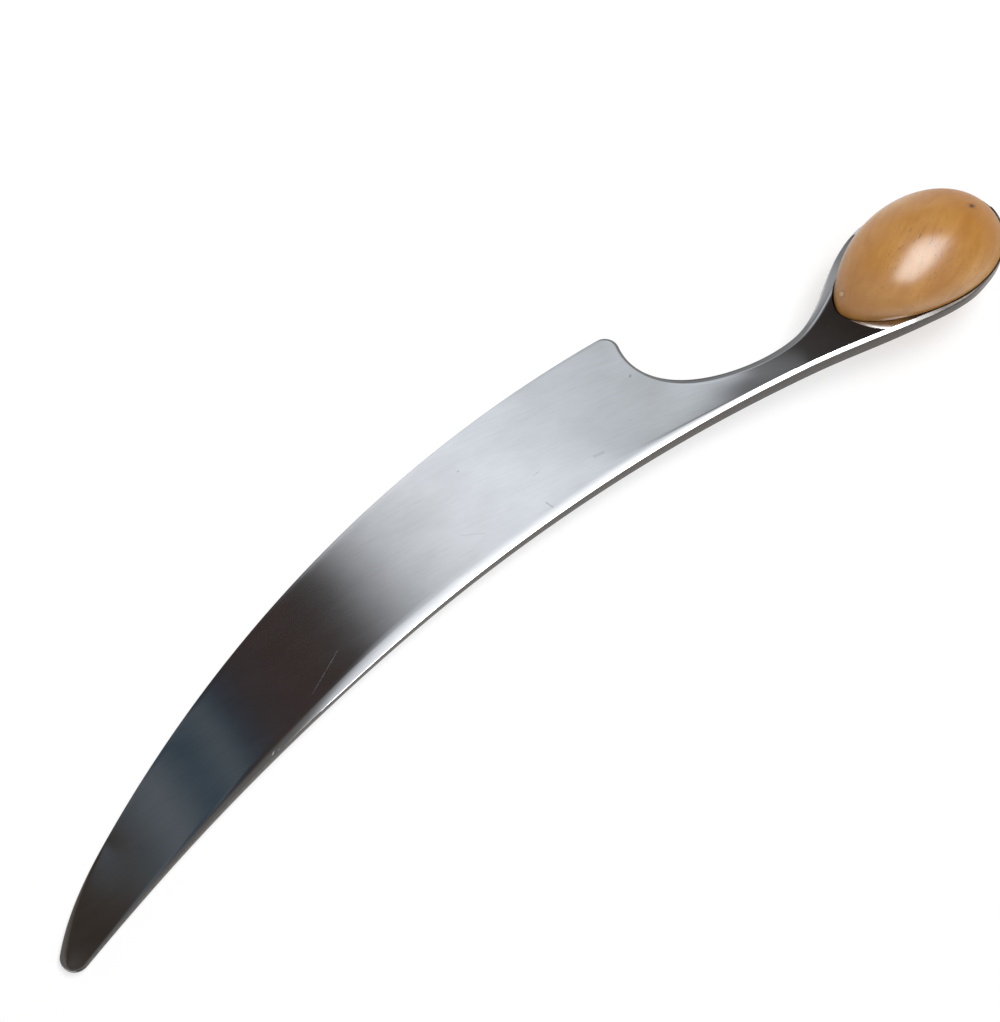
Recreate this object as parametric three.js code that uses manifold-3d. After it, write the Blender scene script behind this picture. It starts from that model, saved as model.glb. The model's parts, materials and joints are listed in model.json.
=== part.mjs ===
// A curved cheese knife: one forged steel blank, with a scimitar blade, a finger notch and a slim neck that
// opens into an oval ring, and a wooden egg that grips the ring from both sides as its handle.
// Millimetres. In plan, x runs from the tip to the butt and y from the spine to the cutting edge;
// z = 0 is the middle of the steel's thickness.
import * as THREE from 'three';
import { mergeVertices } from 'three/addons/utils/BufferGeometryUtils.js';
import Module from 'manifold-3d';

const { lerp, smoothstep, degToRad } = THREE.MathUtils;

// Spine: two tangent arcs, bowed away from the hollow side
const SPINE_CREST_X = 115.6;
const SPINE_CREST_Y = 12.9;
const SPINE_BLADE_RADIUS = 500;
const SPINE_NECK_RADIUS = 375;
const SPINE_JOIN_X = 90;

// Blade: depths are measured across from the spine
const NOSE_RADIUS = 2.9;
const NOSE_EXIT = degToRad(135);
const TIP_STATION = 20;
const TIP_DEPTH = 13.5;
const BLADE_LENGTH = 166;
const HEEL_DEPTH = 29.2;
const EDGE_RADIUS = 267;
const HEEL_RADIUS = 2.7;
const HEEL_LEAN = degToRad(9);

// Finger notch, from the heel down to the neck
const NOTCH_LENGTH = 25.8;
const NOTCH_HEEL_PULL = 20;
const NOTCH_NECK_PULL = 14;
const NECK_WIDTH = 7.4;
const NECK_FLARE = degToRad(11.5);

// Ring: an oval, blunter at the butt, with a bore for the egg; its rim is set off towards the edge side
const NECK_TO_RING = 34.9;
const RING_OFFSET = 13.9;
const RING_TURN = degToRad(-2);
const BORE_LENGTH = 42.8;
const BORE_WIDTH = 25.4;
const BORE_BLUNTNESS = 0.24;
const RIM_WIDTH = 0.8;
const RIM_OFFSET = 0.15;
const THROAT_ANGLE = degToRad(95);
const THROAT_NECK_PULL = 6.5;
const THROAT_RING_PULL = 14;
const BEND_ANGLE = degToRad(-75);
const BEND_NECK_PULL = 15;
const BEND_RING_PULL = 9;

// Thickness of the steel and the shoulders worked along its edges
const TIP_THICKNESS = 0.7;
const EDGE_THICKNESS = 0.4;
const NECK_THICKNESS = 4.4;
const RING_THICKNESS = 3;
const SPINE_SHOULDER = 1.7;
const TIP_SHOULDER = 0.5;
const EDGE_SHOULDER = 0.6;
const THROAT_SHOULDER = 1.5;
const RING_SHOULDER = 0.25;
const SHOULDER_DROP = 0.13;
const SPINE_ROUNDNESS = 2;

// The throat's shoulder is widest at the first share of the way round the ring and fades by the second
const THROAT_SHOULDER_PEAK = 0.2;
const THROAT_SHOULDER_END = 0.5;

// Seat of the egg: a web across the bore carries both halves
const WEB_THICKNESS = 0.9;
const WEB_LEDGE = 2.6;
const MOUTH_DEPTH = 0.8;
const MOUTH_RUN = 0.6;
const EGG_CLEARANCE = 0.25;
const BOND_THICKNESS = 0.15;
const BOND_GAP = 0.15;

// Egg and the dowels that join its halves
const EGG_RISE = 10.8;
const DOWEL_DIAMETER = 4;
const DOWEL_SPACING = 18;
const DOWEL_DEPTH = 5.5;

// Densities in g/cm3, for the balance of the resting knife
const STEEL_DENSITY = 7.8;
const WOOD_DENSITY = 0.7;

// Facets. Rungs lean towards the tip at the heel, by shares of its depth, so that they don't cross there
const HEEL_RUNG_LEAN = 0.75;
const NOTCH_RUNG_LEAN = 0.6;
const NOSE_STEPS = 4;
const TIP_STEPS = 5;
const BLADE_STEPS = 12;
const HEEL_STEPS = 4;
const NOTCH_STEPS = 14;
const HANDLE_STEPS = 32;
const SHOULDER_STEPS = 3;
const FACE_STEPS = 4;
const OVAL_STEPS = 56;
const DOME_STEPS = 9;
const DOWEL_STEPS = 20;

const wasm = await Module();
wasm.setup();

// Materials
const steel = () => new THREE.MeshStandardMaterial({ color: 0xb9bec4, roughness: 0.32, metalness: 1 });
const wood = () => new THREE.MeshStandardMaterial({ color: 0xbd8647, roughness: 0.42, metalness: 0 });
const beech = () => new THREE.MeshStandardMaterial({ color: 0xd2b48c, roughness: 0.7, metalness: 0 });
const resin = () => new THREE.MeshStandardMaterial({ color: 0x8a7a58, roughness: 0.5, metalness: 0 });

// Small plan geometry helpers
const vec = (x, y) => new THREE.Vector2(x, y);
const polar = (angle, length) => vec(Math.cos(angle) * length, Math.sin(angle) * length);
const along = (point, direction, length) => point.clone().addScaledVector(direction, length);
const circleTop = (centre, radius, x) => centre.y + Math.sqrt(radius ** 2 - (x - centre.x) ** 2);

// Spine as a curve in plan, with the direction across the blade
const neckArc = vec(SPINE_CREST_X, SPINE_CREST_Y - SPINE_NECK_RADIUS);
const spineJoin = vec(SPINE_JOIN_X, circleTop(neckArc, SPINE_NECK_RADIUS, SPINE_JOIN_X));
const bladeArc = spineJoin.clone().lerp(neckArc, SPINE_BLADE_RADIUS / SPINE_NECK_RADIUS);

function spinePoint(x) {
  const onBlade = x < SPINE_JOIN_X;
  const centre = onBlade ? bladeArc : neckArc;
  return vec(x, circleTop(centre, onBlade ? SPINE_BLADE_RADIUS : SPINE_NECK_RADIUS, x));
}

function spineAcross(x) {
  return spinePoint(x).sub(x < SPINE_JOIN_X ? bladeArc : neckArc).normalize();
}

function spineForward(x) {
  const across = spineAcross(x);
  return vec(across.y, -across.x);
}

class SpineCurve extends THREE.Curve {
  constructor(from, to) {
    super();
    this.from = from;
    this.to = to;
  }

  getPoint(t) {
    return spinePoint(lerp(this.from, this.to, t));
  }
}

// Oval of the bore, grown outwards by a margin, in the ring's own frame
function ovalPoint(angle, margin) {
  const x = (BORE_LENGTH / 2 + margin) * Math.cos(angle);
  const y = (BORE_WIDTH / 2 + margin) * Math.sin(angle) * (1 + BORE_BLUNTNESS * Math.cos(angle));
  return vec(x, y);
}

const neckX = BLADE_LENGTH + NOTCH_LENGTH;
const ringX = neckX + NECK_TO_RING;
const ringCentre = along(spinePoint(ringX), vec(0, 1), RING_OFFSET);

class RimCurve extends THREE.Curve {
  constructor(from, to) {
    super();
    this.from = from;
    this.to = to;
  }

  getPoint(t) {
    const angle = lerp(this.from, this.to, t);
    const rim = ovalPoint(angle, RIM_WIDTH).add(vec(0, RIM_OFFSET));
    return rim.rotateAround(vec(0, 0), RING_TURN).add(ringCentre);
  }
}

// Outline of the blank in sections from the tip to the butt. Each section pairs a stretch of the spine side
// with the stretch of the edge side that lies across from it.
function blankSections() {
  const nose = vec(NOSE_RADIUS, circleTop(bladeArc, SPINE_BLADE_RADIUS + NOSE_RADIUS, NOSE_RADIUS));
  const spineStart = nose.clone().sub(bladeArc).setLength(SPINE_BLADE_RADIUS).add(bladeArc);
  const noseEntry = spineStart.clone().sub(nose).angle();
  const noseMiddle = (noseEntry + NOSE_EXIT) / 2;
  const noseArc = (end) => new THREE.ArcCurve(nose.x, nose.y, NOSE_RADIUS, noseMiddle, end, end < noseMiddle);

  const edgeStart = along(spinePoint(TIP_STATION), vec(0, 1), TIP_DEPTH);
  const edgeEnd = along(spinePoint(BLADE_LENGTH - HEEL_RADIUS), vec(0, 1), HEEL_DEPTH);
  const chord = edgeEnd.clone().sub(edgeStart);
  const sag = Math.sqrt(EDGE_RADIUS ** 2 - chord.lengthSq() / 4);
  const edgeArc = edgeStart.clone().lerp(edgeEnd, 0.5);
  edgeArc.addScaledVector(vec(chord.y, -chord.x).normalize(), sag);
  const heelX = BLADE_LENGTH - HEEL_RADIUS;
  const heel = vec(heelX, circleTop(edgeArc, EDGE_RADIUS - HEEL_RADIUS, heelX));
  const edgeFrom = edgeStart.clone().sub(edgeArc).angle();
  const heelFrom = heel.clone().sub(edgeArc).angle();

  const tipStart = along(nose, polar(NOSE_EXIT, 1), NOSE_RADIUS);
  const tipPull = tipStart.distanceTo(edgeStart) / 3;
  const tipCurve = new THREE.CubicBezierCurve(
    tipStart,
    along(tipStart, polar(NOSE_EXIT - Math.PI / 2, 1), tipPull),
    along(edgeStart, polar(edgeFrom - Math.PI / 2, 1), -tipPull),
    edgeStart,
  );

  const neckTop = along(spinePoint(neckX), spineAcross(neckX), NECK_WIDTH);
  const neckForward = spineForward(neckX).rotateAround(vec(0, 0), NECK_FLARE);
  const notchStart = along(heel, polar(-HEEL_LEAN, 1), HEEL_RADIUS);
  const notch = new THREE.CubicBezierCurve(
    notchStart,
    along(notchStart, polar(-HEEL_LEAN - Math.PI / 2, 1), NOTCH_HEEL_PULL),
    along(neckTop, neckForward, -NOTCH_NECK_PULL),
    neckTop,
  );

  const farRim = new RimCurve(THROAT_ANGLE, 0);
  const nearRim = new RimCurve(BEND_ANGLE, 0);
  const throat = new THREE.CubicBezierCurve(
    neckTop,
    along(neckTop, neckForward, THROAT_NECK_PULL),
    along(farRim.getPoint(0), farRim.getTangent(0), -THROAT_RING_PULL),
    farRim.getPoint(0),
  );
  const neckFoot = spinePoint(neckX);
  const bend = new THREE.CubicBezierCurve(
    neckFoot,
    along(neckFoot, spineForward(neckX), BEND_NECK_PULL),
    along(nearRim.getPoint(0), nearRim.getTangent(0), -BEND_RING_PULL),
    nearRim.getPoint(0),
  );
  const path = (...curves) => Object.assign(new THREE.CurvePath(), { curves });

  const spineHeel = BLADE_LENGTH - HEEL_RUNG_LEAN * HEEL_DEPTH;
  const spineNotch = BLADE_LENGTH - NOTCH_RUNG_LEAN * HEEL_DEPTH;
  return [
    { zone: 'nose', steps: NOSE_STEPS, spine: noseArc(noseEntry), edge: noseArc(NOSE_EXIT) },
    { zone: 'tip', steps: TIP_STEPS, spine: new SpineCurve(spineStart.x, TIP_STATION), edge: tipCurve },
    {
      zone: 'blade',
      steps: BLADE_STEPS,
      spine: new SpineCurve(TIP_STATION, spineHeel),
      edge: new THREE.ArcCurve(edgeArc.x, edgeArc.y, EDGE_RADIUS, edgeFrom, heelFrom, true),
    },
    {
      zone: 'heel',
      steps: HEEL_STEPS,
      spine: new SpineCurve(spineHeel, spineNotch),
      edge: new THREE.ArcCurve(heel.x, heel.y, HEEL_RADIUS, heelFrom, -HEEL_LEAN, true),
    },
    { zone: 'notch', steps: NOTCH_STEPS, spine: new SpineCurve(spineNotch, neckX), edge: notch },
    { zone: 'handle', steps: HANDLE_STEPS, spine: path(bend, nearRim), edge: path(throat, farRim) },
  ];
}

// Thickness and shoulder at a point of the outline. The spine thickens with the square of the distance from
// the tip; the cutting edge stays thin up to the heel and reaches the neck's thickness through the notch.
// The neck is flat, and the steel thins again from the front of the bore to the middle of the ring.
const ringBlend = (x) => smoothstep(x, ringX - BORE_LENGTH / 2, ringX);
const handleThickness = (x) => lerp(NECK_THICKNESS, RING_THICKNESS, ringBlend(x));
const bladeThickness = (x) => lerp(TIP_THICKNESS, NECK_THICKNESS, (x / neckX) ** 2);

function spineSide(point) {
  const blade = lerp(TIP_SHOULDER, SPINE_SHOULDER, smoothstep(point.x, 0, SPINE_JOIN_X));
  return {
    point,
    thickness: point.x < neckX ? bladeThickness(point.x) : handleThickness(point.x),
    shoulder: lerp(blade, RING_SHOULDER, ringBlend(point.x)),
    roundness: lerp(SPINE_ROUNDNESS, 1, smoothstep(point.x, BLADE_LENGTH, neckX)),
  };
}

function edgeSide(point, zone, t) {
  if (zone === 'handle') {
    const throat = lerp(EDGE_SHOULDER, THROAT_SHOULDER, smoothstep(t, 0, THROAT_SHOULDER_PEAK));
    const fade = smoothstep(t, THROAT_SHOULDER_PEAK, THROAT_SHOULDER_END);
    const shoulder = lerp(throat, RING_SHOULDER, fade);
    return { point, thickness: handleThickness(point.x), shoulder, roundness: 1 };
  }
  if (zone === 'notch') {
    const thickness = lerp(EDGE_THICKNESS, NECK_THICKNESS, smoothstep(t, 0, 1));
    return { point, thickness, shoulder: EDGE_SHOULDER, roundness: 1 };
  }
  const tip = { nose: 1, tip: 1 - t }[zone] ?? 0;
  const thickness = lerp(EDGE_THICKNESS, TIP_THICKNESS, tip);
  return { point, thickness, shoulder: lerp(EDGE_SHOULDER, TIP_SHOULDER, tip), roundness: 1 };
}

// Outline as one loop: along the spine side from the tip to the butt, and back along the edge side
function blankOutline() {
  const spine = [];
  const edge = [];
  const sections = blankSections();
  const tip = spineSide(sections[0].spine.getPointAt(0));
  for (const section of sections) {
    for (let i = 1; i <= section.steps; i++) {
      const t = i / section.steps;
      spine.push(spineSide(section.spine.getPointAt(t)));
      edge.push(edgeSide(section.edge.getPointAt(t), section.zone, t));
    }
  }
  const butt = spine.pop();
  edge.pop();
  const loop = [tip, ...spine, butt, ...edge.reverse()];
  loop.forEach((rib, i) => {
    const before = loop.at(i - 1).point;
    const after = loop[(i + 1) % loop.length].point;
    rib.inward = vec(before.y - after.y, after.x - before.x).normalize();
  });
  return loop;
}

// Closed mesh from shared points and faces of three or four corners
function meshOf(points, faces) {
  const geometry = new THREE.BufferGeometry();
  geometry.setAttribute('position', new THREE.Float32BufferAttribute(points.flat(), 3));
  geometry.setIndex(faces.flatMap(([a, b, c, d]) => (d === undefined ? [a, b, c] : [a, b, c, a, c, d])));
  return geometry;
}

// Blank before boring: bands follow the outline over the shoulders and the wall, and a ladder of rungs from
// the spine side to the edge side closes each face
function blankBody() {
  const loop = blankOutline();
  const count = loop.length;
  const points = [];
  const faces = [];
  const levels = [];
  for (const side of [1, -1]) {
    for (let k = 0; k <= SHOULDER_STEPS; k++) {
      const share = side > 0 ? 1 - k / SHOULDER_STEPS : k / SHOULDER_STEPS;
      levels.push({ side, share });
    }
  }
  for (const { side, share } of levels) {
    for (const { point, inward, thickness, shoulder, roundness } of loop) {
      const drop = SHOULDER_DROP * thickness * (1 - share) ** roundness;
      const { x, y } = along(point, inward, shoulder * share);
      points.push([x, y, side * (thickness / 2 - drop)]);
    }
  }
  for (let level = 0; level + 1 < levels.length; level++) {
    for (let i = 0; i < count; i++) {
      const next = (i + 1) % count;
      const upper = level * count;
      const lower = upper + count;
      faces.push([upper + i, lower + i, lower + next, upper + next]);
    }
  }

  for (const side of [1, -1]) {
    const base = side > 0 ? 0 : (levels.length - 1) * count;
    const rungs = [];
    for (let i = 1; i < count / 2; i++) {
      const from = base + i;
      const to = base + count - i;
      const rung = [from];
      for (let k = 1; k < FACE_STEPS; k++) {
        rung.push(points.push(points[from].map((v, axis) => lerp(v, points[to][axis], k / FACE_STEPS))) - 1);
      }
      rungs.push([...rung, to]);
    }
    const add = (...face) => faces.push(side > 0 ? face : face.reverse());
    for (let k = 0; k < FACE_STEPS; k++) {
      const last = rungs.at(-1);
      add(base, rungs[0][k], rungs[0][k + 1]);
      add(base + count / 2, last[k + 1], last[k]);
      for (let i = 0; i + 1 < rungs.length; i++) {
        add(rungs[i][k], rungs[i + 1][k], rungs[i + 1][k + 1], rungs[i][k + 1]);
      }
    }
  }
  return meshOf(points, faces);
}

// Solid of stacked ovals between flat or pointed ends, in the ring's frame; levels run upwards
function ovalStack(levels) {
  const points = [];
  const faces = [];
  for (const { z, margin = 0, scale = 1, shift = 0 } of levels) {
    for (let i = 0; i < OVAL_STEPS; i++) {
      const { x, y } = ovalPoint((2 * Math.PI * i) / OVAL_STEPS, margin).multiplyScalar(scale);
      points.push([x + shift, y, z]);
    }
  }
  const bottom = points.push([0, 0, levels[0].z]) - 1;
  const top = points.push([0, 0, levels.at(-1).apex ?? levels.at(-1).z]) - 1;
  const lastRow = (levels.length - 1) * OVAL_STEPS;
  for (let i = 0; i < OVAL_STEPS; i++) {
    const next = (i + 1) % OVAL_STEPS;
    faces.push([bottom, next, i], [top, lastRow + i, lastRow + next]);
    for (let row = 0; row < lastRow; row += OVAL_STEPS) {
      faces.push([row + i, row + next, row + OVAL_STEPS + next, row + OVAL_STEPS + i]);
    }
  }
  return meshOf(points, faces);
}

// Boolean cut of one closed geometry by others
function solidOf(geometry) {
  const bare = geometry.clone();
  bare.deleteAttribute('normal');
  bare.deleteAttribute('uv');
  const merged = mergeVertices(bare);
  return new wasm.Manifold(
    new wasm.Mesh({
      numProp: 3,
      vertProperties: new Float32Array(merged.attributes.position.array),
      triVerts: new Uint32Array(merged.index.array),
    }),
  );
}

function cut(geometry, ...tools) {
  const solid = tools.reduce((rest, tool) => rest.subtract(solidOf(tool)), solidOf(geometry));
  const { vertProperties, triVerts } = solid.getMesh();
  const result = new THREE.BufferGeometry();
  result.setAttribute('position', new THREE.BufferAttribute(new Float32Array(vertProperties), 3));
  result.setIndex(new THREE.BufferAttribute(new Uint32Array(triVerts), 1));
  return result;
}

// Heights over the middle of the steel, shared by the seat, the egg and the dowels
const neckFace = NECK_THICKNESS / 2;
const ringFace = RING_THICKNESS / 2;
const webFace = WEB_THICKNESS / 2;
const bondFoot = webFace + BOND_GAP;
const eggFoot = bondFoot + BOND_THICKNESS + BOND_GAP;
const eggTop = ringFace + EGG_RISE;

// The egg's frame: the centre of the ring, turned with its long axis
const handle = new THREE.Group();
handle.position.set(ringCentre.x, ringCentre.y, 0);
handle.rotation.z = RING_TURN;
handle.updateMatrix();

// Bore on each face down to the web, with a mouth that is eased towards the neck, and the opening in the web
function boreTools() {
  const clear = NECK_THICKNESS;
  const bore = ovalStack([{ z: webFace }, { z: clear }]);
  const mouth = ovalStack([
    { z: neckFace - MOUTH_DEPTH },
    { z: neckFace, shift: -MOUTH_RUN },
    { z: clear, shift: -MOUTH_RUN },
  ]);
  const opening = ovalStack([
    { z: -clear, margin: -WEB_LEDGE },
    { z: clear, margin: -WEB_LEDGE },
  ]);
  const underside = [bore, mouth].map((tool) => tool.clone().rotateX(Math.PI));
  return [bore, mouth, ...underside, opening].map((tool) => tool.applyMatrix4(handle.matrix));
}

// Half egg: a short straight foot inside the bore and a dome that springs upright from the ring's face
function eggHalf() {
  const levels = [{ z: eggFoot, margin: -EGG_CLEARANCE }];
  for (let k = 0; k < DOME_STEPS; k++) {
    const angle = (k / DOME_STEPS) * (Math.PI / 2);
    levels.push({ z: ringFace + EGG_RISE * Math.sin(angle), margin: -EGG_CLEARANCE, scale: Math.cos(angle) });
  }
  levels.at(-1).apex = eggTop;
  const socketRadius = DOWEL_DIAMETER / 2 + BOND_GAP;
  const sockets = [-1, 1].map((end) => {
    const socket = new THREE.CylinderGeometry(socketRadius, socketRadius, 2 * DOWEL_DEPTH, DOWEL_STEPS);
    return socket.rotateX(Math.PI / 2).translate((end * DOWEL_SPACING) / 2, 0, eggFoot);
  });
  return cut(ovalStack(levels), ...sockets);
}

// Adhesive between the web's ledge and the foot of a half
function bondRing() {
  const outer = ovalStack([
    { z: bondFoot, margin: -EGG_CLEARANCE },
    { z: bondFoot + BOND_THICKNESS, margin: -EGG_CLEARANCE },
  ]);
  const hole = ovalStack([
    { z: 0, margin: -WEB_LEDGE },
    { z: eggFoot, margin: -WEB_LEDGE },
  ]);
  return cut(outer, hole);
}

function named(name, geometry, material) {
  const mesh = new THREE.Mesh(geometry, material);
  mesh.name = name;
  return mesh;
}

// The knife lying flat
const knife = new THREE.Group();
knife.add(named('steel_blank', cut(blankBody(), ...boreTools()), steel()), handle);

for (const [side, turn] of [['upper', 0], ['lower', Math.PI]]) {
  const egg = named(`${side}_egg_half`, eggHalf(), wood());
  const bond = named(`${side}_bond`, bondRing(), resin());
  egg.rotation.x = turn;
  bond.rotation.x = turn;
  handle.add(egg, bond);
}

const dowelLength = 2 * (eggFoot + DOWEL_DEPTH - BOND_GAP);
for (const [place, end] of [['front', -1], ['rear', 1]]) {
  const pin = new THREE.CylinderGeometry(DOWEL_DIAMETER / 2, DOWEL_DIAMETER / 2, dowelLength, DOWEL_STEPS);
  const dowel = named(`${place}_dowel`, pin, beech());
  dowel.rotation.x = Math.PI / 2;
  dowel.position.x = (end * DOWEL_SPACING) / 2;
  handle.add(dowel);
}

// Corners of every piece that can touch the table, and the knife's centre of gravity
function restingData() {
  const corners = [];
  const balance = new THREE.Vector3();
  let mass = 0;
  knife.updateMatrixWorld(true);
  for (const [name, density] of [['steel_blank', STEEL_DENSITY], ['upper_egg_half', WOOD_DENSITY],
    ['lower_egg_half', WOOD_DENSITY]]) {
    const mesh = knife.getObjectByName(name);
    const { position } = mesh.geometry.attributes;
    const corner = (i) => new THREE.Vector3().fromBufferAttribute(position, i).applyMatrix4(mesh.matrixWorld);
    for (let i = 0; i < position.count; i++) {
      corners.push(corner(i));
    }
    const { array } = mesh.geometry.index;
    for (let i = 0; i < array.length; i += 3) {
      const [a, b, c] = [corner(array[i]), corner(array[i + 1]), corner(array[i + 2])];
      const share = (density * a.dot(b.clone().cross(c))) / 6;
      balance.addScaledVector(a.add(b).add(c), share / 4);
      mass += share;
    }
  }
  return { corners, balance: balance.divideScalar(mass) };
}

// Table under the resting knife: the plane on three corners, with the centre of gravity above their triangle
// and no corner below it. A corner found below the plane takes the place of one of the three in turn.
function tableUnder({ corners, balance }) {
  const far = 1e4;
  const level = -1e-6;
  const flat = (p) => new THREE.Vector3(p.x, p.y, 0);
  const holds = ([a, b, c]) => new THREE.Triangle(flat(a), flat(b), flat(c)).containsPoint(flat(balance));
  let feet = [0, 1, 2].map((i) => {
    const { x, y } = polar((2 * Math.PI * i) / 3, far);
    return new THREE.Vector3(balance.x + x, balance.y + y, far);
  });
  for (;;) {
    const table = new THREE.Plane().setFromCoplanarPoints(...feet);
    if (table.normal.z < 0) {
      table.negate();
    }
    const heights = corners.map((corner) => table.distanceToPoint(corner));
    const lowest = heights.reduce((best, height, i) => (height < heights[best] ? i : best), 0);
    const choices = [0, 1, 2].map((i) => feet.with(i, corners[lowest]));
    const swap = choices.find(holds);
    if (heights[lowest] > level || feet.includes(corners[lowest]) || !swap) {
      return table;
    }
    feet = swap;
  }
}

// Rest pose: the table becomes the floor, with the origin under the middle of the knife
const resting = restingData();
const up = new THREE.Vector3(0, 0, 1);
knife.quaternion.setFromUnitVectors(tableUnder(resting).normal, up);
const extent = new THREE.Box3();
resting.corners.forEach((corner) => extent.expandByPoint(corner.clone().applyQuaternion(knife.quaternion)));
const middle = extent.getCenter(new THREE.Vector3());
knife.position.set(-middle.x, -middle.y, -extent.min.z);

const part = new THREE.Group();
part.add(knife);
export default part;
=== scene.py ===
# A curved cheese knife at rest: forged steel with a brushed face, and a waxed wooden egg held in its ring.
# Shapes are worked out in millimetres in the knife's own frame, lying flat, and then put in its rest pose.
import json
import math

import bmesh
import bpy
import numpy as np
from mathutils import Matrix, Vector


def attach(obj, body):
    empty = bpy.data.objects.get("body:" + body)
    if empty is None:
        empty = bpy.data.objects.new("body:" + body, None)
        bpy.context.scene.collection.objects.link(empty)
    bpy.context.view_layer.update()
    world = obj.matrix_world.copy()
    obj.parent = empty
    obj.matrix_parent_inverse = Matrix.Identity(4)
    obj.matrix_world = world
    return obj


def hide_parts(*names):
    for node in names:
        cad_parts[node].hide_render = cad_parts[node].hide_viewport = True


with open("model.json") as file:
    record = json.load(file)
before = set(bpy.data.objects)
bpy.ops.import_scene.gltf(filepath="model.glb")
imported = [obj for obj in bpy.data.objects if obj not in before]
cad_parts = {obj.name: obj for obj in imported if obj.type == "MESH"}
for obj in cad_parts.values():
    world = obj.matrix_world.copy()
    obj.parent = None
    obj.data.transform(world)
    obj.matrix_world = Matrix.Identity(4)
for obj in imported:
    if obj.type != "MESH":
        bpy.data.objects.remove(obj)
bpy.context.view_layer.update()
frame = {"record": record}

MM = 0.001

# Spine: two tangent arcs
SPINE_CREST = Vector((115.6, 12.9))
SPINE_BLADE_RADIUS = 500.0
SPINE_NECK_RADIUS = 375.0
SPINE_JOIN_X = 90.0

# Blade
NOSE_RADIUS = 2.9
NOSE_EXIT = math.radians(135)
TIP_STATION = 20.0
TIP_DEPTH = 13.5
BLADE_LENGTH = 166.0
HEEL_DEPTH = 29.2
EDGE_RADIUS = 267.0
HEEL_RADIUS = 3.05
HEEL_LEAN = math.radians(20.8)

# Finger notch and neck
NOTCH_LENGTH = 25.8
NOTCH_HEEL_PULL = 15.0
NOTCH_NECK_PULL = 13.1
NECK_WIDTH = 7.5
NECK_FLARE = math.radians(13.6)
NECK_FLAT_MIDDLE = (197.0, 8.6)

# Ring
NECK_TO_RING = 34.9
RING_OFFSET = 13.9
RING_TURN = math.radians(-2)
BORE_LENGTH = 42.8
BORE_WIDTH = 25.1
BORE_BLUNTNESS = 0.24
RIM_WIDTH = 0.8
RIM_OFFSET = 0.15
NEAR_RIM_THIN = 0.3
FAR_RIM_THIN = 0.45
FAR_RIM_SWELL = 1.8
NEAR_THINNING = (0.0, math.radians(30))
NEAR_WIDENING = (math.radians(60), math.radians(85))
FAR_THINNING = (0.0, math.radians(50))
FAR_SWELLING = (math.radians(80), math.radians(104))
THROAT_ANGLE = math.radians(101)
THROAT_NECK_PULL = 10.0
THROAT_RING_PULL = 12.2
BEND_ANGLE = math.radians(-75)
BEND_NECK_PULL = 15.0
BEND_RING_PULL = 9.0

# Thickness and shoulders of the steel
TIP_THICKNESS = 0.7
EDGE_THICKNESS = 0.34
NECK_THICKNESS = 4.4
RING_THICKNESS = 3.0
SPINE_SHOULDER = 2.3
NECK_SHOULDER = 0.9
TIP_SHOULDER = 0.5
EDGE_SHOULDER = 0.6
TIP_BEVEL = 1.8
NOTCH_SHOULDER = 1.5
THROAT_SHOULDER = 2.0
RING_SHOULDER = 0.25
SHOULDER_DROP = 0.13
EDGE_DROP = 0.05
TIP_SLOPE = 0.06
BLADE_SLOPE = 0.17
NECK_SLOPE = 0.337
THICKNESS_POWER = 1.15
SPINE_EASE = 0.12
OUTLINE_EASE = 0.05
SOFT_ROUNDNESS = 2.0
NOTCH_SLOPE = 0.3
THROAT_SHOULDER_PEAK = 0.3
THROAT_SHOULDER_END = 0.62
CORNER_RADIUS = 0.14
CORNER_WALL_SHARE = 0.6
CORNER_SHOULDER_SHARE = 0.4

# Stretches of the spine, by place along the knife, where its section changes
SPINE_EASE_RISE = (10.0, 40.0)
SLOPE_RISE = (50.0, 100.0)
NECK_SHOULDER_START = 0.8 * BLADE_LENGTH
NECK_SLOPE_START = 0.85 * BLADE_LENGTH
SHOULDER_FADE = (218.0, 234.0)
DROP_FADE = (222.0, 238.0)
DROP_LOSS = 0.95

# The same on the edge side, as shares of a stretch of the outline
EDGE_DROP_RISE = (0.6, 1.0)
TIP_BEVEL_FADE = (0.0, 0.7)
HEEL_SOFTENING = (0.0, 0.6)
NOTCH_SHOULDER_RISE = (0.1, 0.5)
NOTCH_THICKENING = (0.3, 1.0)

# Seat, egg and dowel sockets
WEB_THICKNESS = 0.9
WEB_LEDGE = 2.6
MOUTH_DEPTH = 0.55
MOUTH_GAP = 0.02
MOUTH_RUN = 0.35
EGG_CLEARANCE = 0.15
EGG_FOOT = 0.9
EGG_RISE = 10.5
EGG_SWELL = 0.113
EGG_EVENING = 0.225
EGG_SHORTENING = 0.045
SOCKET_RADIUS = 2.15
SOCKET_DEPTH = 5.5
DOWEL_SPACING = 18.0

# Fineness of the meshes
NOSE_STEPS = 12
TIP_STEPS = 26
BLADE_STEPS = 150
HEEL_STEPS = 16
NOTCH_STEPS = 64
HANDLE_STEPS = 160
SHOULDER_STEPS = 8
CORNER_STEPS = 7
FACE_STEPS = 24
OVAL_STEPS = 240
HEEL_RUNG_LEAN = 0.75
NOTCH_RUNG_LEAN = 0.6
CURVE_STEPS = 600
SOCKET_SIDES = 48
STEEL_CREASE = 16
EGG_CREASE = 32

# Steel painted dark in place of its reflection, and made rougher, by how level a face lies and by place on
# the knife
WALL_LEVELS = (0.30, 0.40)
TIP_LEVELS = (0.993, 0.9985)
RING_LEVELS = (0.70, 0.80)
TIP_PAINTED_DARK_FADE = (66.0, 92.0)
SPINE_CORNER = 1.0
NEAR_RIM_REACH = 6.0
NEAR_RIM_PAINTED_DARKENING = [(0.80, 213.0, 217.0), (0.20, 217.0, 224.0)]


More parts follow.
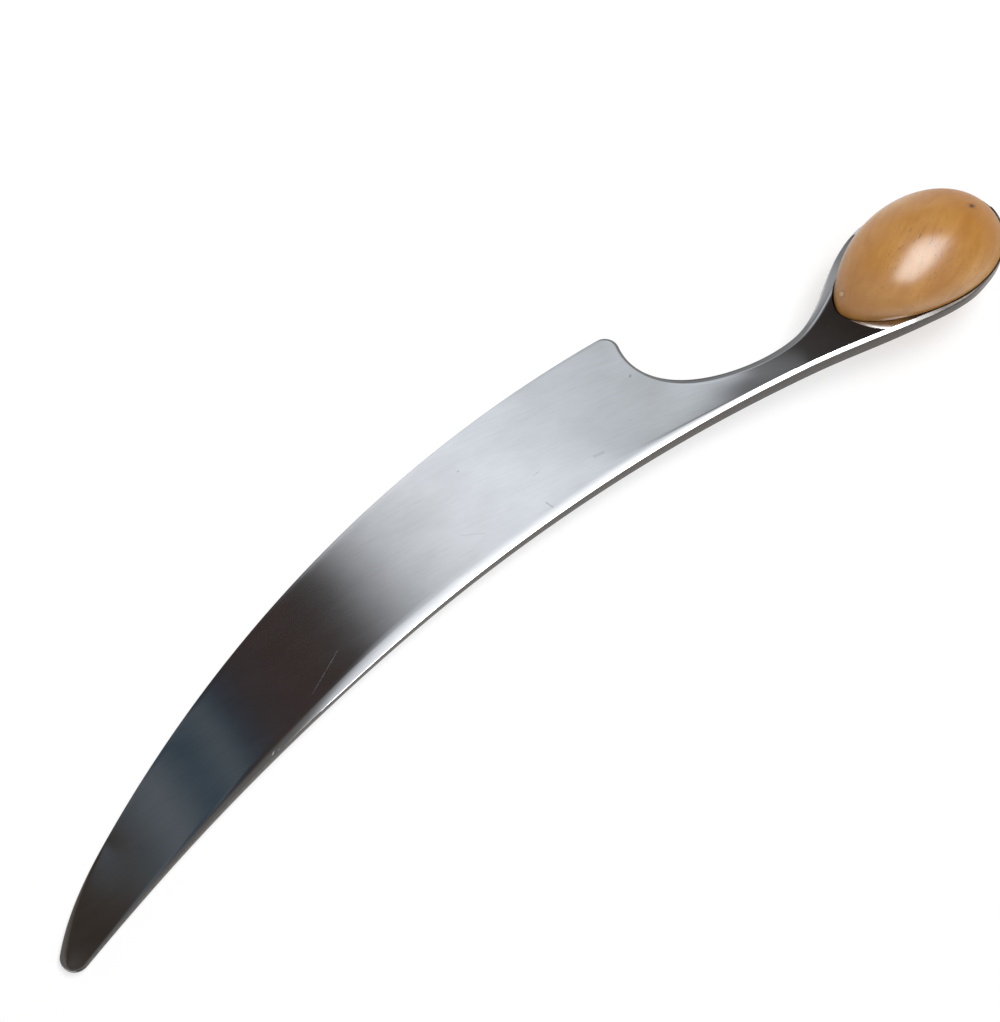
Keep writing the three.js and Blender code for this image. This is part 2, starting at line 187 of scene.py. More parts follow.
def rest_pose():
    """The knife's place at rest, read from the flat of its neck."""
    flats = {mount["name"]: mount for mount in frame["record"]["mounts"]}
    flat = flats["upper_neck_flat"]
    turn = Vector((0, 0, 1)).rotation_difference(Vector(flat["axis"])).to_matrix()
    neck_flat = Vector((*NECK_FLAT_MIDDLE, NECK_THICKNESS / 2)) * MM
    place = Vector(flat["pos_m"]) - turn @ neck_flat
    return Matrix.Translation(place) @ turn.to_4x4()


REST = rest_pose()
IN_METRES = REST @ Matrix.Scale(MM, 4)


# Plan of the blank

def lerp(a, b, t):
    return a + (b - a) * t


def smoothstep(x, low, high):
    t = min(max((x - low) / (high - low), 0.0), 1.0)
    return t * t * (3 - 2 * t)


def polar(angle, length=1.0):
    return Vector((math.cos(angle), math.sin(angle))) * length


def turned(v, angle):
    c, s = math.cos(angle), math.sin(angle)
    return Vector((c * v.x - s * v.y, s * v.x + c * v.y))


def angle_of(v):
    return math.atan2(v.y, v.x) % (2 * math.pi)


def circle_top(centre, radius, x):
    return centre.y + math.sqrt(radius ** 2 - (x - centre.x) ** 2)


NECK_ARC = SPINE_CREST - Vector((0, SPINE_NECK_RADIUS))
SPINE_JOIN = Vector((SPINE_JOIN_X, circle_top(NECK_ARC, SPINE_NECK_RADIUS, SPINE_JOIN_X)))
BLADE_ARC = SPINE_JOIN.lerp(NECK_ARC, SPINE_BLADE_RADIUS / SPINE_NECK_RADIUS)


def spine_point(x):
    if x < SPINE_JOIN_X:
        return Vector((x, circle_top(BLADE_ARC, SPINE_BLADE_RADIUS, x)))
    return Vector((x, circle_top(NECK_ARC, SPINE_NECK_RADIUS, x)))


def spine_across(x):
    return (spine_point(x) - (BLADE_ARC if x < SPINE_JOIN_X else NECK_ARC)).normalized()


def spine_forward(x):
    return turned(spine_across(x), -math.pi / 2)


NECK_X = BLADE_LENGTH + NOTCH_LENGTH
RING_X = NECK_X + NECK_TO_RING
RING_CENTRE = spine_point(RING_X) + Vector((0, RING_OFFSET))
RING_PLACE = Matrix.Translation((RING_CENTRE.x, RING_CENTRE.y, 0)) @ Matrix.Rotation(RING_TURN, 4, "Z")
RING_FACE = RING_THICKNESS / 2
NECK_FACE = NECK_THICKNESS / 2


def oval_point(angle, margin):
    x = (BORE_LENGTH / 2 + margin) * math.cos(angle)
    y = (BORE_WIDTH / 2 + margin) * math.sin(angle) * (1 + BORE_BLUNTNESS * math.cos(angle))
    return Vector((x, y))


def rim_margin(angle):
    """Width of the rim: thin along both sides, and on the far side swelling towards the throat."""
    if angle < 0:
        waist = smoothstep(-angle, *NEAR_THINNING) * (1 - smoothstep(-angle, *NEAR_WIDENING))
        return lerp(RIM_WIDTH, NEAR_RIM_THIN, waist)
    thin = lerp(RIM_WIDTH, FAR_RIM_THIN, smoothstep(angle, *FAR_THINNING))
    return lerp(thin, FAR_RIM_SWELL, smoothstep(angle, *FAR_SWELLING))


def rim_point(angle):
    rim = oval_point(angle, rim_margin(angle)) + Vector((0, RIM_OFFSET))
    return turned(rim, RING_TURN) + RING_CENTRE


def rim_forward(angle):
    """Direction round the rim as its angle falls to nothing."""
    step = math.copysign(1e-4, -angle)
    return (rim_point(angle + step) - rim_point(angle)).normalized()


def arc(centre, radius, start, end):
    return lambda t: centre + polar(lerp(start, end, t), radius)


def spine_run(start, end):
    return lambda t: spine_point(lerp(start, end, t))


def rim_run(start):
    return lambda t: rim_point(lerp(start, 0.0, t))


def bezier(start, out, back, end):
    def point(t):
        s = 1 - t
        return start * s ** 3 + out * (3 * s * s * t) + back * (3 * s * t * t) + end * t ** 3
    return point


def evenly(curves, steps):
    """Points at even distances along curves that follow each other, after the first point."""
    points = [curve(i / CURVE_STEPS) for curve in curves for i in range(CURVE_STEPS + 1)]
    lengths = [0.0]
    for before, after in zip(points, points[1:]):
        lengths.append(lengths[-1] + (after - before).length)
    spaced = []
    i = 0
    for k in range(steps + 1):
        goal = lengths[-1] * k / steps
        while i + 2 < len(lengths) and lengths[i + 1] < goal:
            i += 1
        span = lengths[i + 1] - lengths[i]
        share = min((goal - lengths[i]) / span, 1.0) if span else 0.0
        spaced.append(points[i].lerp(points[i + 1], share))
    return spaced


def blank_sections():
    """Stretches of the outline from tip to butt: name, steps, spine side and edge side."""
    nose = Vector((NOSE_RADIUS, circle_top(BLADE_ARC, SPINE_BLADE_RADIUS + NOSE_RADIUS, NOSE_RADIUS)))
    spine_start = BLADE_ARC + (nose - BLADE_ARC).normalized() * SPINE_BLADE_RADIUS
    nose_entry = angle_of(spine_start - nose)
    nose_middle = (nose_entry + NOSE_EXIT) / 2

    edge_start = spine_point(TIP_STATION) + Vector((0, TIP_DEPTH))
    heel_x = BLADE_LENGTH - HEEL_RADIUS
    edge_end = spine_point(heel_x) + Vector((0, HEEL_DEPTH))
    chord = edge_end - edge_start
    sag = math.sqrt(EDGE_RADIUS ** 2 - chord.length_squared / 4)
    edge_arc = edge_start.lerp(edge_end, 0.5) + Vector((chord.y, -chord.x)).normalized() * sag
    heel = Vector((heel_x, circle_top(edge_arc, EDGE_RADIUS - HEEL_RADIUS, heel_x)))
    edge_from = angle_of(edge_start - edge_arc)
    heel_from = angle_of(heel - edge_arc)

    tip_start = nose + polar(NOSE_EXIT, NOSE_RADIUS)
    tip_pull = (edge_start - tip_start).length / 3
    tip_out = tip_start + polar(NOSE_EXIT - math.pi / 2, tip_pull)
    tip_back = edge_start - polar(edge_from - math.pi / 2, tip_pull)

    neck_top = spine_point(NECK_X) + spine_across(NECK_X) * NECK_WIDTH
    neck_forward = turned(spine_forward(NECK_X), NECK_FLARE)
    notch_start = heel + polar(-HEEL_LEAN, HEEL_RADIUS)
    notch_out = notch_start + polar(-HEEL_LEAN - math.pi / 2, NOTCH_HEEL_PULL)
    notch = bezier(notch_start, notch_out, neck_top - neck_forward * NOTCH_NECK_PULL, neck_top)

    throat_end = rim_point(THROAT_ANGLE)
    throat_back = throat_end - rim_forward(THROAT_ANGLE) * THROAT_RING_PULL
    throat = bezier(neck_top, neck_top + neck_forward * THROAT_NECK_PULL, throat_back, throat_end)
    neck_foot = spine_point(NECK_X)
    bend_end = rim_point(BEND_ANGLE)
    bend_back = bend_end - rim_forward(BEND_ANGLE) * BEND_RING_PULL
    bend = bezier(neck_foot, neck_foot + spine_forward(NECK_X) * BEND_NECK_PULL, bend_back, bend_end)

    spine_heel = BLADE_LENGTH - HEEL_RUNG_LEAN * HEEL_DEPTH
    spine_notch = BLADE_LENGTH - NOTCH_RUNG_LEAN * HEEL_DEPTH
    return [
        ("nose", NOSE_STEPS, [arc(nose, NOSE_RADIUS, nose_middle, nose_entry)],
         [arc(nose, NOSE_RADIUS, nose_middle, NOSE_EXIT)]),
        ("tip", TIP_STEPS, [spine_run(spine_start.x, TIP_STATION)],
         [bezier(tip_start, tip_out, tip_back, edge_start)]),
        ("blade", BLADE_STEPS, [spine_run(TIP_STATION, spine_heel)],
         [arc(edge_arc, EDGE_RADIUS, edge_from, heel_from)]),
        ("heel", HEEL_STEPS, [spine_run(spine_heel, spine_notch)],
         [arc(heel, HEEL_RADIUS, heel_from, -HEEL_LEAN)]),
        ("notch", NOTCH_STEPS, [spine_run(spine_notch, NECK_X)], [notch]),
        ("handle", HANDLE_STEPS, [bend, rim_run(BEND_ANGLE)], [throat, rim_run(THROAT_ANGLE)]),
    ]


def ring_blend(x):
    return smoothstep(x, RING_X - BORE_LENGTH / 2, RING_X)


def handle_thickness(x):
    return lerp(NECK_THICKNESS, RING_THICKNESS, ring_blend(x))


def blade_thickness(x):
    return lerp(TIP_THICKNESS, NECK_THICKNESS, (max(x, 0) / NECK_X) ** THICKNESS_POWER)


def spine_rib(point):
    """Point of the spine side with its thickness, its shoulder's width, drop and roundness, and an inset."""
    x = point.x
    shoulder = lerp(TIP_SHOULDER, SPINE_SHOULDER, smoothstep(x, 0, SPINE_JOIN_X))
    shoulder = lerp(shoulder, NECK_SHOULDER, smoothstep(x, NECK_SHOULDER_START, NECK_X))
    shoulder = lerp(shoulder, RING_SHOULDER, smoothstep(x, *SHOULDER_FADE))
    roundness = lerp(SOFT_ROUNDNESS, 1.0, smoothstep(x, BLADE_LENGTH, NECK_X))
    thickness = blade_thickness(x) if x < NECK_X else handle_thickness(x)
    slope = lerp(TIP_SLOPE, BLADE_SLOPE, smoothstep(x, *SLOPE_RISE))
    slope = lerp(slope, NECK_SLOPE, smoothstep(x, NECK_SLOPE_START, NECK_X))
    drop = min(SHOULDER_DROP * thickness, slope * shoulder / roundness)
    drop *= 1 - DROP_LOSS * smoothstep(x, *DROP_FADE)
    ease = SPINE_EASE * smoothstep(x, *SPINE_EASE_RISE) * (1 - smoothstep(x, BLADE_LENGTH, NECK_X))
    return point, thickness, shoulder, drop, roundness, OUTLINE_EASE + ease


def wedge_thickness(point):
    """Thickness of the blade's wedge, which heel and notch are cut out of."""
    depth = (point.y - spine_point(point.x).y) / (HEEL_DEPTH - EDGE_SHOULDER - OUTLINE_EASE)
    return lerp(blade_thickness(point.x), EDGE_THICKNESS, min(depth, 1.0))


def edge_rib(point, inward, zone, t):
    """Point of the edge side with the same values as on the spine side."""
    thickness, shoulder, roundness = EDGE_THICKNESS, EDGE_SHOULDER, 1.0
    drop = lerp(EDGE_DROP, SHOULDER_DROP, smoothstep(t, *EDGE_DROP_RISE)) * thickness
    if zone == "nose":
        thickness = TIP_THICKNESS
        shoulder = lerp(TIP_SHOULDER, TIP_BEVEL, smoothstep(t, 0, 1))
        roundness = lerp(1.0, SOFT_ROUNDNESS, t)
        drop = SHOULDER_DROP * thickness
    if zone == "tip":
        thickness = lerp(TIP_THICKNESS, EDGE_THICKNESS, t)
        shoulder = lerp(TIP_BEVEL, EDGE_SHOULDER, smoothstep(t, *TIP_BEVEL_FADE))
        roundness = lerp(SOFT_ROUNDNESS, 1.0, t)
        drop = lerp(SHOULDER_DROP, EDGE_DROP, t) * thickness
    if zone == "heel":
        thickness = wedge_thickness(point + inward * (shoulder + OUTLINE_EASE))
        roundness = lerp(1.0, SOFT_ROUNDNESS, smoothstep(t, *HEEL_SOFTENING))
        drop = SHOULDER_DROP * thickness
    if zone == "notch":
        shoulder = lerp(EDGE_SHOULDER, NOTCH_SHOULDER, smoothstep(t, *NOTCH_SHOULDER_RISE))
        wedge = wedge_thickness(point + inward * (shoulder + OUTLINE_EASE))
        thickness = lerp(wedge, NECK_THICKNESS, smoothstep(t, *NOTCH_THICKENING))
        roundness = SOFT_ROUNDNESS
        drop = min(SHOULDER_DROP * thickness, NOTCH_SLOPE * shoulder / roundness)
    if zone == "handle":
        thickness = handle_thickness(point.x)
        throat = smoothstep(t, 0, THROAT_SHOULDER_PEAK)
        shoulder = lerp(NOTCH_SHOULDER, THROAT_SHOULDER, throat)
        shoulder = lerp(shoulder, RING_SHOULDER, smoothstep(t, THROAT_SHOULDER_PEAK, THROAT_SHOULDER_END))
        roundness = lerp(SOFT_ROUNDNESS, 1.0, throat)
        drop = lerp(NOTCH_SLOPE * NOTCH_SHOULDER / SOFT_ROUNDNESS, SHOULDER_DROP * thickness, throat)
    return point, thickness, shoulder, drop, roundness, OUTLINE_EASE


def blank_loop():
    spine, edge = [], []
    for zone, steps, spine_curves, edge_curves in blank_sections():
        spine_points = evenly(spine_curves, steps)
        edge_points = evenly(edge_curves, steps)
        if zone == "nose":
            spine.append(spine_rib(spine_points[0]))
        for i in range(1, steps + 1):
            spine.append(spine_rib(spine_points[i]))
            forward = edge_points[min(i + 1, steps)] - edge_points[i - 1]
            inward = turned(forward.normalized(), -math.pi / 2)
            edge.append(edge_rib(edge_points[i], inward, zone, i / steps))
    edge.pop()
    return spine + edge[::-1]


def rib_profile(thickness, shoulder, drop, roundness):
    """Inset and height down one rib: over the shoulder, round the corner and onto the wall."""
    wall_top = thickness / 2 - drop
    radius = min(CORNER_RADIUS, CORNER_WALL_SHARE * wall_top, CORNER_SHOULDER_SHARE * shoulder)
    turn_in = radius / shoulder

    def on_shoulder(share):
        return shoulder * share, thickness / 2 - drop * (1 - share) ** roundness

    profile = [on_shoulder(lerp(1.0, turn_in, k / SHOULDER_STEPS)) for k in range(SHOULDER_STEPS + 1)]
    start = profile[-1]
    for k in range(1, CORNER_STEPS + 1):
        t = k / CORNER_STEPS
        inset = start[0] * (1 - t) ** 2
        height = start[1] * (1 - t) ** 2 + wall_top * 2 * t * (1 - t) + (wall_top - radius) * t * t
        profile.append((inset, height))
    return profile


# Meshes

def mesh_object(name, points, faces, place):
    mesh = bpy.data.meshes.new(name)
    mesh.from_pydata([place @ Vector(p) for p in points], [], faces)
    mesh.update()
    made = bpy.data.objects.new(name, mesh)
    bpy.context.scene.collection.objects.link(made)
    return made


def bending(from_points, to_points):
    """Influence between points of a thin plate that is bent over pegs."""
    gap = np.sum((to_points[:, None] - from_points[None]) ** 2, axis=-1)
    return gap * np.log(np.maximum(gap, 1e-12))


def drape(grid):
    """Lays a grid of points, rung by rung, on a thin plate bent over the ends of the rungs."""
    ends = np.concatenate([grid[:, 0], grid[:, -1]])
    pegs = ends[:, :2]
    tilt = np.column_stack([np.ones(len(pegs)), pegs])
    system = np.block([[bending(pegs, pegs), tilt], [tilt.T, np.zeros((3, 3))]])
    weights = np.linalg.solve(system, np.concatenate([ends[:, 2], np.zeros(3)]))
    plan = grid[..., :2].reshape(-1, 2)
    plate = bending(pegs, plan) @ weights[:-3] + weights[-3] + plan @ weights[-2:]
    grid[..., 2] = plate.reshape(grid.shape[:2])


def solid_blank():
    """Steel before boring: bands down every rib, and a ladder of rungs across each face."""
    loop = blank_loop()
    count = len(loop)
    half = count // 2
    upper = []
    for i, (point, *section, ease) in enumerate(loop):
        before, after = loop[i - 1][0], loop[(i + 1) % count][0]
        inward = Vector((before.y - after.y, after.x - before.x)).normalized()
        profile = rib_profile(*section)
        upper.append([(*(point + inward * (inset + ease)), height) for inset, height in profile])
    rows = list(zip(*upper))
    levels = rows + [[(x, y, -z) for x, y, z in row] for row in rows[::-1]]
    points = [p for level in levels for p in level]
    faces = []
    for level in range(len(levels) - 1):
        a, b = level * count, (level + 1) * count
        for i in range(count):
            j = (i + 1) % count
            faces.append((a + i, b + i, b + j, a + j))
    inner = levels[0]
    grid = np.array([[Vector(inner[i]).lerp(Vector(inner[count - i]), k / FACE_STEPS)
                      for k in range(FACE_STEPS + 1)] for i in range(1, half)])
    drape(grid)
    for side, base in ((1, 0), (-1, (len(levels) - 1) * count)):
        rungs = []
        for i in range(1, half):
            rung = [base + i]
            for k in range(1, FACE_STEPS):
                rung.append(len(points))
                x, y, z = grid[i - 1, k]
                points.append((x, y, z * side))
            rungs.append(rung + [base + count - i])
        for k in range(FACE_STEPS):
            cells = [(base, rungs[0][k], rungs[0][k + 1]), (base + half, rungs[-1][k + 1], rungs[-1][k])]
            for a, b in zip(rungs, rungs[1:]):
                cells.append((a[k], b[k], b[k + 1], a[k + 1]))
            faces.extend(cell if side > 0 else cell[::-1] for cell in cells)
    return mesh_object("forged_steel", points, faces, IN_METRES)


def oval_stack(name, levels, flip=False):
    """Closed stack of ovals in the ring's frame; each level is height, margin and shift."""
    points, faces = [], []
    for height, margin, shift in levels:
        for i in range(OVAL_STEPS):
            p = oval_point(2 * math.pi * i / OVAL_STEPS, margin)
            points.append((p.x + shift, p.y, height))
    top = (len(levels) - 1) * OVAL_STEPS
    for row in range(0, top, OVAL_STEPS):
        for i in range(OVAL_STEPS):
            j = (i + 1) % OVAL_STEPS
            faces.append((row + i, row + j, row + OVAL_STEPS + j, row + OVAL_STEPS + i))
    faces.append(tuple(range(OVAL_STEPS))[::-1])
    faces.append(tuple(range(top, top + OVAL_STEPS)))
    turn = Matrix.Rotation(math.pi if flip else 0.0, 4, "X")
    return mesh_object(name, points, faces, IN_METRES @ RING_PLACE @ turn)


def bore_tools():
    """Cutters for the opening and, on each face, the bore and its mouth; no two share a wall."""
    clear = NECK_THICKNESS
    web = WEB_THICKNESS / 2
    tools = [oval_stack("opening", [(-2 * clear, -WEB_LEDGE, 0), (2 * clear, -WEB_LEDGE, 0)])]
    mouth = [(NECK_FACE - MOUTH_DEPTH, -MOUTH_GAP, 0), (NECK_FACE, -MOUTH_GAP, -MOUTH_RUN),
             (1.5 * clear, -MOUTH_GAP, -MOUTH_RUN)]
    for flip in (False, True):
        tools.append(oval_stack("bore", [(web, 0, 0), (clear, 0, 0)], flip))
        tools.append(oval_stack("mouth", mouth, flip))
    return tools


def settled(made):
    """Replaces an object's mesh by the result of its modifiers."""
    dg = bpy.context.evaluated_depsgraph_get()
    mesh = bpy.data.meshes.new_from_object(made.evaluated_get(dg))
    made.modifiers.clear()
    old = made.data
    made.data = mesh
    bpy.data.meshes.remove(old)


def carve(made, tools):
    for tool in tools:
        cut = made.modifiers.new("cut", "BOOLEAN")
        cut.operation = "DIFFERENCE"
        cut.solver = "EXACT"
        cut.object = tool
    settled(made)
    for tool in tools:
        bpy.data.meshes.remove(tool.data)


def shade_smooth(made, crease):
    made.data.polygons.foreach_set("use_smooth", [True] * len(made.data.polygons))
    made.data.set_sharp_from_angle(angle=math.radians(crease))


def mark_painted_dark_reflection(made):
    """Face value: 1 where the steel is rougher and painted dark in place of its reflection, on walls, on
    spine corners near the tip and on the near rim.
    """
    up = REST.to_3x3() @ Vector((0, 0, 1))
    flat = IN_METRES.inverted()
    values = []
    for face in made.data.polygons:
        place = flat @ face.center
        level = abs(face.normal.dot(up))
        beside_spine = place.y < spine_point(place.x).y + SPINE_CORNER
        tip = 1 - smoothstep(place.x, *TIP_PAINTED_DARK_FADE) if beside_spine else 0.0
        limits = [lerp(a, b, tip) for a, b in zip(WALL_LEVELS, TIP_LEVELS)]
        # Painted dark reflection: steep faces, and near the tip even fairly level corner faces, get the dark
        # tone.
        dull = 1 - smoothstep(level, *limits)
        if place.x > RING_X - BORE_LENGTH / 2:
            near = 1 - smoothstep(place.y, RING_CENTRE.y - NEAR_RIM_REACH, RING_CENTRE.y)
            rim = near * sum(share * smoothstep(place.x, a, b) for share, a, b in NEAR_RIM_PAINTED_DARKENING)
            dull = max(1 - smoothstep(level, *RING_LEVELS), rim)
        values.append(dull)
    wall = made.data.attributes.new("wall", "FLOAT", "FACE")
    wall.data.foreach_set("value", values)


# Node trees

class Wire:
    """A socket; sums and products of wires add Math nodes."""

    def __init__(self, graph, socket):
        self.graph = graph
        self.socket = socket

    def math(self, operation, *values, clamp=False):
        settings = {"operation": operation, "use_clamp": clamp}
        return self.graph.node("ShaderNodeMath", settings, dict(enumerate(values)))

    def __add__(self, other):
        return self.math("ADD", self, other)

    def __sub__(self, other):
        return self.math("SUBTRACT", self, other)

    def __rsub__(self, other):
        return self.math("SUBTRACT", other, self)

    def __mul__(self, other):
        return self.math("MULTIPLY", self, other)

    def __truediv__(self, other):
        return self.math("DIVIDE", self, other)

    def __pow__(self, other):
        return self.math("POWER", self, other)

    __radd__ = __add__
    __rmul__ = __mul__

    def sin(self):
        return self.math("SINE", self)

    def cos(self):
        return self.math("COSINE", self)

    def clamped(self):
        return self.math("ADD", self, 0.0, clamp=True)

    def over(self, low, high):
        """Rises smoothly from 0 at low to 1 at high."""
        settings = {"interpolation_type": "SMOOTHSTEP"}
        return self.graph.node("ShaderNodeMapRange", settings,
                               {"Value": self, "From Min": low, "From Max": high})


class Graph:
    """A node tree that is filled one call at a time."""

    def __init__(self, tree):
        self.tree = tree
        tree.nodes.clear()

    def node(self, kind, settings=None, sockets=None, out=0):
        made = self.tree.nodes.new(kind)
        for name, value in (settings or {}).items():
            if name == "stops":
                self.set_stops(made.color_ramp, value)
            else:
                setattr(made, name, value)
        for name, value in (sockets or {}).items():
            if isinstance(value, Wire):
                self.tree.links.new(value.socket, made.inputs[name])
            else:
                made.inputs[name].default_value = value
        return Wire(self, made.outputs[out]) if made.outputs else made

    @staticmethod
    def set_stops(ramp, stops):
        while len(ramp.elements) < len(stops):
            ramp.elements.new(1.0)
        for element, (position, colour) in zip(ramp.elements, stops):
            element.position = position
            element.color = (*colour, 1.0)

    def xyz(self, vector):
        made = self.node("ShaderNodeSeparateXYZ", None, {0: vector}).socket.node
        return [Wire(self, output) for output in made.outputs]

    def vector(self, x, y, z):
        return self.node("ShaderNodeCombineXYZ", None, {0: x, 1: y, 2: z})

    def blend(self, factor, a, b):
        pair = [v if isinstance(v, Wire) else (*v, 1.0) for v in (a, b)]
        return self.node("ShaderNodeMix", {"data_type": "RGBA"}, {0: factor, 6: pair[0], 7: pair[1]}, out=2)

    def layered(self, tone, layers):
        """Tone with other tones laid over it, each by its own mask."""
        for mask, over in layers:
            tone = self.blend(mask, tone, over)
        return tone

    def noise(self, vector, scale, detail=2.0, roughness=0.5, distortion=0.0):
        return self.node("ShaderNodeTexNoise", None, {
            "Vector": vector, "Scale": scale, "Detail": detail,
            "Roughness": roughness, "Distortion": distortion})

    def ramp(self, value, stops):
        return self.node("ShaderNodeValToRGB", {"stops": stops}, {0: value})

    def local(self, place):
        """Object coordinates in millimetres in another frame."""
        metres = self.node("ShaderNodeTexCoord", None, None, out="Object")
        turn = place.to_3x3().normalized().to_euler()
        return self.node("ShaderNodeMapping", {"vector_type": "TEXTURE"}, {
            "Vector": metres, "Location": place.to_translation(),
            "Rotation": turn, "Scale": (MM, MM, MM)})

    def bump(self, height, strength, distance):
        return self.node("ShaderNodeBump", None, {
            "Height": height, "Strength": strength, "Distance": distance})


def material(name):
    made = bpy.data.materials.new(name)
    made.use_nodes = True
    return made, Graph(made.node_tree)


def finish_surface(graph, **sockets):
    named = {name.replace("_", " "): value for name, value in sockets.items()}
    surface = graph.node("ShaderNodeBsdfPrincipled", None, named)
    graph.node("ShaderNodeOutputMaterial", None, {0: surface})


# Marks on the upper face: ends, width and strength of each stroke
DARK_MARKS = [
    ((130.0, 16.5), (130.3, 14.8), 0.22, 0.40), ((162.5, 27.8), (162.8, 28.0), 0.35, 0.45),
    ((144.3, 18.2), (146.3, 17.7), 0.50, 0.18), ((112.6, 21.8), (116.3, 19.2), 0.18, 0.14),
    ((121.3, 33.7), (121.6, 33.7), 0.30, 0.25)]
PALE_MARKS = [
    ((78.0, 18.2), (68.5, 14.1), 0.07, 0.15), ((54.9, 9.1), (55.6, 9.5), 0.14, 0.30),
    ((56.4, 9.2), (56.8, 9.3), 0.10, 0.25), ((132.0, 22.9), (134.3, 23.0), 0.15, 0.20)]


def strokes(g, x, y, marks):
    shown = 0.0
    for (from_x, from_y), (to_x, to_y), width, strength in marks:
        run_x, run_y = to_x - from_x, to_y - from_y
        along = ((x - from_x) * run_x + (y - from_y) * run_y) / (run_x ** 2 + run_y ** 2)
        share = along.clamped()
        off_x = x - from_x - share * run_x
        off_y = y - from_y - share * run_y
        off = (off_x * off_x + off_y * off_y) ** 0.5
        shown = (1 - off.over(0.2 * width, width)) * strength + shown
    return shown


BRUSH_SKEW = math.radians(-13)
STEEL_TONES = [(0.585, 0.595, 0.605), (0.645, 0.65, 0.665)]
HAIRLINE_TONE = (0.38, 0.38, 0.385)
MARK_TONE = (0.15, 0.145, 0.14)
# Painted dark reflection: dark brown-grey tones for steep faces, tip corners and the near rim, in place of
# the reflection they would show.
PAINTED_REFLECTION_TONES = [(0.056, 0.048, 0.042), (0.088, 0.076, 0.067)]


def brushed_steel():
    made, g = material("brushed_steel")
    x, y, z = g.xyz(g.local(REST))
    dx, dy = x - BLADE_ARC.x, y - BLADE_ARC.y
    across = (dx * dx + dy * dy) ** 0.5 - SPINE_BLADE_RADIUS
    sweep = dx.math("ARCTAN2", dx, dy) * SPINE_BLADE_RADIUS
    run = sweep * math.cos(BRUSH_SKEW) + across * math.sin(BRUSH_SKEW)
    side = across * math.cos(BRUSH_SKEW) - sweep * math.sin(BRUSH_SKEW)
    hairlines = g.noise(g.vector(run * 0.13, side * 3.0, z), 1.0, 3.0, 0.65)
    streaks = g.noise(g.vector(run * 0.03, side * 0.5, z), 1.0, 2.0, 0.5)
    clouds = g.noise(g.vector(run * 0.6, side, z), 0.10, 3.0, 0.6)
    wall = g.node("ShaderNodeAttribute", {"attribute_name": "wall"}, None, out="Fac")
    grit = g.noise(g.vector(x, y, z), 1.9, 3.0, 0.6)

    # Painted dark reflection, mottled by grit, laid over the steel where the wall value is set; the same
    # faces are also made rougher.
    scale = g.blend(grit.over(0.35, 0.7), *PAINTED_REFLECTION_TONES)
    upper = z.over(0.0, 0.1)
    dark = strokes(g, x, y, DARK_MARKS) * upper
    pale = strokes(g, x, y, PALE_MARKS) * upper * hairlines.over(0.3, 0.6)
    tone = g.layered(g.blend(clouds.over(0.33, 0.68), *STEEL_TONES), [
        (hairlines.over(0.45, 0.72) * 0.12, HAIRLINE_TONE), (dark, MARK_TONE), (wall, scale)])
    gloss = 0.04 + 0.015 * streaks + 0.015 * clouds + pale
    roughness = gloss + wall * (0.2 + 0.1 * grit)
    grain = hairlines * 0.6 + streaks * 0.4
    finish_surface(g, Base_Color=tone, Metallic=1.0, Roughness=roughness,
                   Normal=g.bump(grain, 0.007, 0.00006))
    return made


# Places on the egg, in the ring's frame, tones of its wood, and a painted shade tone for the crevice at the
# ring
GRAIN_TURN = math.radians(23)
CROWN = (-2.8, -3.5)
KNOT = (14.6, -0.1, 8.8)
KNOT_SQUEEZE = (1.0, 1.6, 1.0)
EYE = (-19.3, 2.1, 4.75)
WOOD_TONES = [(0.32, (0.375, 0.155, 0.031)), (0.46, (0.430, 0.195, 0.041)),
              (0.56, (0.475, 0.228, 0.051)), (0.70, (0.520, 0.270, 0.070))]
BUTT_TONE = (0.34, 0.130, 0.014)
NECK_END_TONE = (0.31, 0.135, 0.045)
FIBRE_TONE = (0.40, 0.175, 0.045)
PORE_TONE = (0.15, 0.065, 0.022)
KNOT_EDGE_TONE = (0.20, 0.075, 0.018)
KNOT_TONE = (0.055, 0.020, 0.008)
EYE_EDGE_TONE = (0.24, 0.11, 0.035)
EYE_TONE = (0.70, 0.45, 0.20)
# Painted shade: near-black for the crevice where the egg meets the ring.
CREVICE_SHADE_TONE = (0.02, 0.011, 0.007)


def distance(wires, centre, squeeze=(1.0, 1.0, 1.0)):
    total = 0.0
    for wire, place, factor in zip(wires, centre, squeeze):
        total = (wire - place) * (wire - place) * factor + total
    return total ** 0.5


